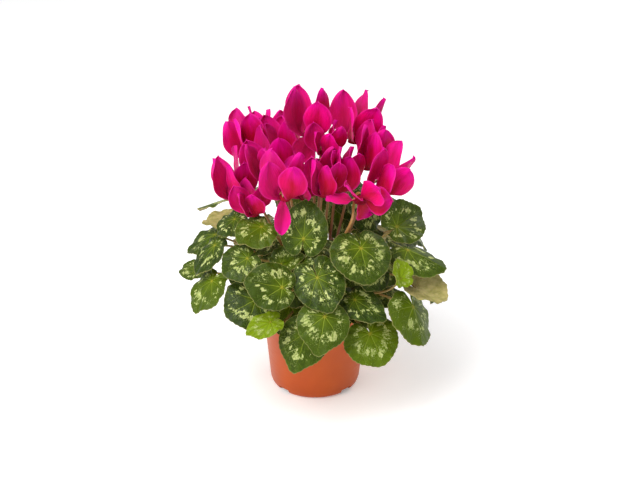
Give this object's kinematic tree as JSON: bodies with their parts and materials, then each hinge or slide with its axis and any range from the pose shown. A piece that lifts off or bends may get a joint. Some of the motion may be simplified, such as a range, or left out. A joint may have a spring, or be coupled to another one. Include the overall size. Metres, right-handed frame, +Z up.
{
  "type": "potted cyclamen",
  "caption": "Florist cyclamen in a terracotta-coloured plastic nursery pot, with magenta swept-back flowers above silver-marbled heart-shaped leaves.",
  "frame": {"origin": "centre of the underside of the pot, at the height of the surface it stands on", "axes": "+Z up along the pot axis, -Y toward the side of the plant that the picture shows, +X to the right of it"},
  "size_m": [0.2698, 0.263, 0.3329],
  "materials": {
    "pot_plastic": "satin moulded",
    "compost": "crumbly peat compost",
    "flower_stalk": "smooth fleshy plant stem",
    "leaf": "leathery leaf with silvery marbling",
    "petal": "soft velvety petal"
  },
  "bodies": {
    "root": {"pot": "pot_plastic", "soil": "compost", "tuber_and_stalks": "flower_stalk", "leaf_01": "leaf", "leaf_02": "leaf", "leaf_03": "leaf", "leaf_04": "leaf", "leaf_05": "leaf", "leaf_06": "leaf", "leaf_07": "leaf", "leaf_08": "leaf", "leaf_09": "leaf", "leaf_10": "leaf", "leaf_11": "leaf", "leaf_12": "leaf", "leaf_13": "leaf", "leaf_14": "leaf", "leaf_15": "leaf", "leaf_16": "leaf", "leaf_17": "leaf", "leaf_18": "leaf", "leaf_19": "leaf", "leaf_20": "leaf", "leaf_21": "leaf", "leaf_22": "leaf", "leaf_23": "leaf", "leaf_24": "leaf", "leaf_25": "leaf", "leaf_26": "leaf", "leaf_27": "leaf", "leaf_28": "leaf", "back_leaf_01": "leaf", "back_leaf_02": "leaf", "back_leaf_03": "leaf", "back_leaf_04": "leaf", "back_leaf_05": "leaf", "back_leaf_06": "leaf", "back_leaf_07": "leaf", "back_leaf_08": "leaf", "back_leaf_09": "leaf", "back_leaf_10": "leaf", "back_leaf_11": "leaf", "back_leaf_12": "leaf", "bloom_01": "petal", "bloom_02": "petal", "bloom_03": "petal", "bloom_04": "petal", "bloom_05": "petal", "bloom_06": "petal", "bloom_07": "petal", "bloom_08": "petal", "bloom_09": "petal", "bloom_10": "petal", "bloom_11": "petal", "bloom_12": "petal", "bloom_13": "petal", "bloom_14": "petal", "bloom_15": "petal", "bloom_16": "petal"}
  },
  "joints": []
}
